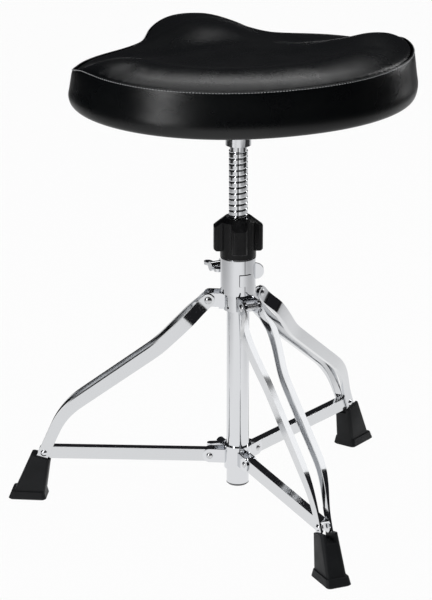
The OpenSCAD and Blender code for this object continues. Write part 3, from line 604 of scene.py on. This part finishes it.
def threaded_post():
    """Post with its coarse thread wound as a helix, a plain neck above it and a keyway along it, whose faces are
    painted dark as shade.
    """
    low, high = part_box("threaded_post")
    radius = (high.x - low.x) / 2
    bm = bmesh.new()
    profile = []
    for i in range(THREAD_POINTS + 1):
        share = i / THREAD_POINTS
        profile.append(bm.verts.new((thread_radius(share, radius), 0, low.z + (share - 1.0) * THREAD_PITCH)))
    edges = [bm.edges.new(pair) for pair in zip(profile, profile[1:])]
    turns = math.ceil((THREAD_TOP - low.z) / THREAD_PITCH) + 1
    bmesh.ops.spin(bm, geom=profile + edges, cent=(0, 0, 0), axis=(0, 0, 1),
                   dvec=(0, 0, THREAD_PITCH / THREAD_STEPS), angle=math.tau * turns,
                   steps=THREAD_STEPS * turns, use_merge=False)
    bmesh.ops.remove_doubles(bm, verts=bm.verts, dist=WELD)
    for height, up in ((low.z, -1), (THREAD_TOP, 1)):
        bmesh.ops.bisect_plane(bm, geom=bm.verts[:] + bm.edges[:] + bm.faces[:], plane_co=(0, 0, height),
                               plane_no=(0, 0, up), clear_outer=True)
    bmesh.ops.holes_fill(bm, edges=[edge for edge in bm.edges if edge.is_boundary], sides=0)
    neck_h = high.z - THREAD_TOP
    neck = bmesh.ops.create_cone(bm, cap_ends=True, segments=THREAD_STEPS, radius1=radius - THREAD_DEPTH,
                                 radius2=radius, depth=neck_h,
                                 matrix=Matrix.Translation((0, 0, THREAD_TOP + neck_h / 2)))
    for vertex in neck["verts"]:
        if vertex.co.z < THREAD_TOP + WELD:
            vertex.co.z -= THREAD_DEPTH
    step = math.tau / THREAD_STEPS
    slot = set()
    for vertex in bm.verts:
        off = math.remainder(math.atan2(vertex.co.y, vertex.co.x) - KEY_STEP * step, math.tau)
        reach = vertex.co.xy.length
        if abs(off) < step / 2 and reach > radius - KEY_DEPTH:
            vertex.co.xy *= (radius - KEY_DEPTH) / reach
            slot.add(vertex)
    bmesh.ops.recalc_face_normals(bm, faces=bm.faces)
    # Faces inside the keyway take the second, near-black material: painted shade in the slot
    for face in bm.faces:
        face.material_index = int(len(slot.intersection(face.verts)) > 1)
    post = new_object("post_thread", bm, MIRROR_CHROME)
    post.data.materials.append(KEYWAY_SHADE)
    shade(post, THREAD_SHARP)
    stand_for(post, "threaded_post")


# Hub

def hub_hole_shade():
    """Small black disc in the upper hub's screw hole: painted shade of the hole."""
    facing = Vector((math.cos(HOLE_SHADE_ANGLE), math.sin(HOLE_SHADE_ANGLE), 0.0))
    turn = facing.to_track_quat("Z", "Y").to_matrix().to_4x4()
    bm = bmesh.new()
    bmesh.ops.create_cone(bm, cap_ends=True, segments=24, radius1=HOLE_SHADE_RADIUS, radius2=HOLE_SHADE_RADIUS,
                          depth=HOLE_SHADE_LENGTH, matrix=Matrix.Translation(facing * HOLE_SHADE_REACH + HOLE_SHADE_HEIGHT) @ turn)
    shade_disc = new_object("hub_hole_shade", bm, BLACK_PLASTIC)
    shade(shade_disc)
    break_edges(shade_disc, HOLE_SHADE_LENGTH / 6, 2)
    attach(shade_disc, BODY_OF["upper_hub"])


# Scene

def studio():
    """Roll of white paper on a grey floor in a dim room, under a lit ceiling, with soft boxes round the object."""
    scene = bpy.context.scene
    scene.view_settings.view_transform = "Standard"
    scene.world = dim_room()
    grey_floor()
    white_paper()
    for name, setting in LAMPS.items():
        soft_box(name, *setting)


def dim_room():
    """World that is dim round the object and white behind it."""
    world = bpy.data.worlds.new("dim_room")
    world.use_nodes = True
    tree = world.node_tree
    room = tree.nodes["Background"]
    room.inputs["Color"].default_value = (*ROOM, 1.0)
    white = tree.nodes.new("ShaderNodeBackground")
    white.inputs["Color"].default_value = (1.0, 1.0, 1.0, 1.0)
    path = tree.nodes.new("ShaderNodeLightPath")
    mix = tree.nodes.new("ShaderNodeMixShader")
    tree.links.new(path.outputs["Is Camera Ray"], mix.inputs["Fac"])
    tree.links.new(room.outputs["Background"], mix.inputs[1])
    tree.links.new(white.outputs["Background"], mix.inputs[2])
    tree.links.new(mix.outputs["Shader"], tree.nodes["World Output"].inputs["Surface"])
    return world


def math_node(tree, operation, *values):
    """Math node on sockets and plain numbers."""
    node = tree.nodes.new("ShaderNodeMath")
    node.operation = operation
    for socket, value in zip(node.inputs, values):
        if isinstance(value, float):
            socket.default_value = value
        else:
            tree.links.new(value, socket)
    return node


def mix_over(tree, surface, kind, share):
    """Mixes a plain white shader of a kind over a surface by a share."""
    over = tree.nodes.new(kind)
    mix = tree.nodes.new("ShaderNodeMixShader")
    tree.links.new(math_node(tree, "MULTIPLY", share, PAPER_WHITE).outputs["Value"], mix.inputs["Fac"])
    tree.links.new(surface.outputs[0], mix.inputs[1])
    tree.links.new(over.outputs[0], mix.inputs[2])
    return mix


def clear_to_camera(tree, surface, path):
    """Lets the camera see the white behind a floor, and the feet of a folded tripod below it."""
    clear = mix_over(tree, surface, "ShaderNodeBsdfTransparent", path.outputs["Is Camera Ray"])
    tree.links.new(clear.outputs["Shader"], tree.nodes["Material Output"].inputs["Surface"])


def matt(name, color):
    material, tree, shader = new_material(name, color)
    shader.inputs["Roughness"].default_value = 0.9
    shader.inputs["Specular IOR Level"].default_value = 0.0
    return material, tree, shader


def grey_floor():
    """Floor that the camera sees white through a faint shadow, and the metal sees grey."""
    bm = bmesh.new()
    bmesh.ops.create_circle(bm, cap_ends=True, segments=96, radius=FLOOR_RADIUS,
                            matrix=Matrix.Translation((0, 0, -PAPER_THICKNESS)))
    material, tree, shader = matt("grey_floor", (0.08, 0.08, 0.08))
    clear_to_camera(tree, shader, tree.nodes.new("ShaderNodeLightPath"))
    new_object("grey_floor", bm, material)


def white_paper():
    """Paper that takes a faint shadow, and glows white for glossy rays but for its sides: a painted pool of light
    that the metal reflects.
    """
    ahead = Vector((*CAMERA_HEADING, 0.0))
    aside = Vector((CAMERA_HEADING[1], -CAMERA_HEADING[0], 0.0))
    edge = aside * PAPER_WIDTH / 2
    bm = bmesh.new()
    corners = [ahead * PAPER_FROM - edge, ahead * PAPER_FROM + edge,
               ahead * PAPER_TO + edge, ahead * PAPER_TO - edge]
    bmesh.ops.contextual_create(bm, geom=[bm.verts.new(corner) for corner in corners])
    material, tree, shader = matt("white_paper", (0.86, 0.86, 0.86))
    path = tree.nodes.new("ShaderNodeLightPath")
    coords = tree.nodes.new("ShaderNodeTexCoord")
    offset = tree.nodes.new("ShaderNodeVectorMath")
    offset.operation = "DOT_PRODUCT"
    offset.inputs[1].default_value = aside
    tree.links.new(coords.outputs["Object"], offset.inputs[0])
    away = math_node(tree, "ABSOLUTE", offset.outputs["Value"])
    fade = tree.nodes.new("ShaderNodeMapRange")
    fade.interpolation_type = "SMOOTHSTEP"
    fade.inputs["From Min"].default_value = PAPER_BRIGHT
    fade.inputs["From Max"].default_value = PAPER_DIM
    fade.inputs["To Min"].default_value = 1.0
    fade.inputs["To Max"].default_value = 0.0
    tree.links.new(away.outputs["Value"], fade.inputs["Value"])
    # Emission for glossy rays only, fading aside: painted light that shows in the metal
    painted_glow_share = math_node(tree, "MULTIPLY", path.outputs["Is Glossy Ray"], fade.outputs["Result"])
    clear_to_camera(tree, mix_over(tree, shader, "ShaderNodeEmission", painted_glow_share.outputs["Value"]), path)
    new_object("white_paper", bm, material)


def soft_box(name, place, target, width, height, power):
    lamp = bpy.data.lights.new(name, "AREA")
    lamp.shape = "RECTANGLE"
    lamp.size = width
    lamp.size_y = height
    lamp.energy = power
    obj = bpy.data.objects.new(name, lamp)
    obj.location = place
    obj.rotation_euler = (Vector(target) - Vector(place)).to_track_quat("-Z", "Y").to_euler()
    bpy.context.scene.collection.objects.link(obj)


def camera():
    data = bpy.data.cameras.new("camera")
    data.lens = CAMERA_LENS
    data.sensor_width = 36.0
    data.clip_end = 50.0
    obj = bpy.data.objects.new("camera", data)
    heading = Vector((*CAMERA_HEADING, -math.tan(CAMERA_PITCH)))
    obj.location = CAMERA_AT
    obj.rotation_euler = heading.to_track_quat("-Z", "Y").to_euler()
    bpy.context.scene.collection.objects.link(obj)
    bpy.context.scene.camera = obj


MIRROR_NODES = ("main_tube", "upper_hub", "clamp_wing", "slider_hub", "slider_wing")
CLAMP_NODES = ("clamp_sleeve", "clamp_jaw")
STEEL_NODES = ("upper_rivets", "slider_rivets", "clamp_nut", "bracket_bolt", "bracket_screws", "nut_insert",
               "thrust_washer")
NYLON_NODES = ("tube_cap", "post_stop")


def hardware():
    """Rigid pieces whose shape is the CAD's own."""
    for node in MIRROR_NODES:
        soften(node, MIRROR_CHROME, SHEET_EDGE)
    for node in CLAMP_NODES:
        dress(node, MIRROR_CHROME)
    for node in STEEL_NODES:
        dress(node, ZINC_STEEL)
    for node in NYLON_NODES:
        dress(node, GREY_NYLON)
    # The key bush is made black so that the sleeve's window and slit show dark: painted shade of the tube's inside
    dress("key_bush", BLACK_PLASTIC)
    soften("nut_knob", BLACK_PLASTIC, MOULDED_EDGE, segments=3)
    soften("seat_bracket", MIRROR_CHROME, PLATE_EDGE)
    dress("seat_board", PLYWOOD)
    for leg in LEGS:
        for side in "ab":
            pressed(f"leg_{leg}_strip_{side}", SHEET_CHROME)
        dress(f"leg_{leg}_rivets", MIRROR_CHROME)
        soften(f"brace_{leg}", SHEET_CHROME, BRACE_EDGE)
        soften(f"foot_{leg}", BLACK_RUBBER, MOULDED_EDGE, segments=3)


camera()
studio()
hardware()
hub_hole_shade()
threaded_post()
seat_cushion()
seat_side_band()
seam_stitches()
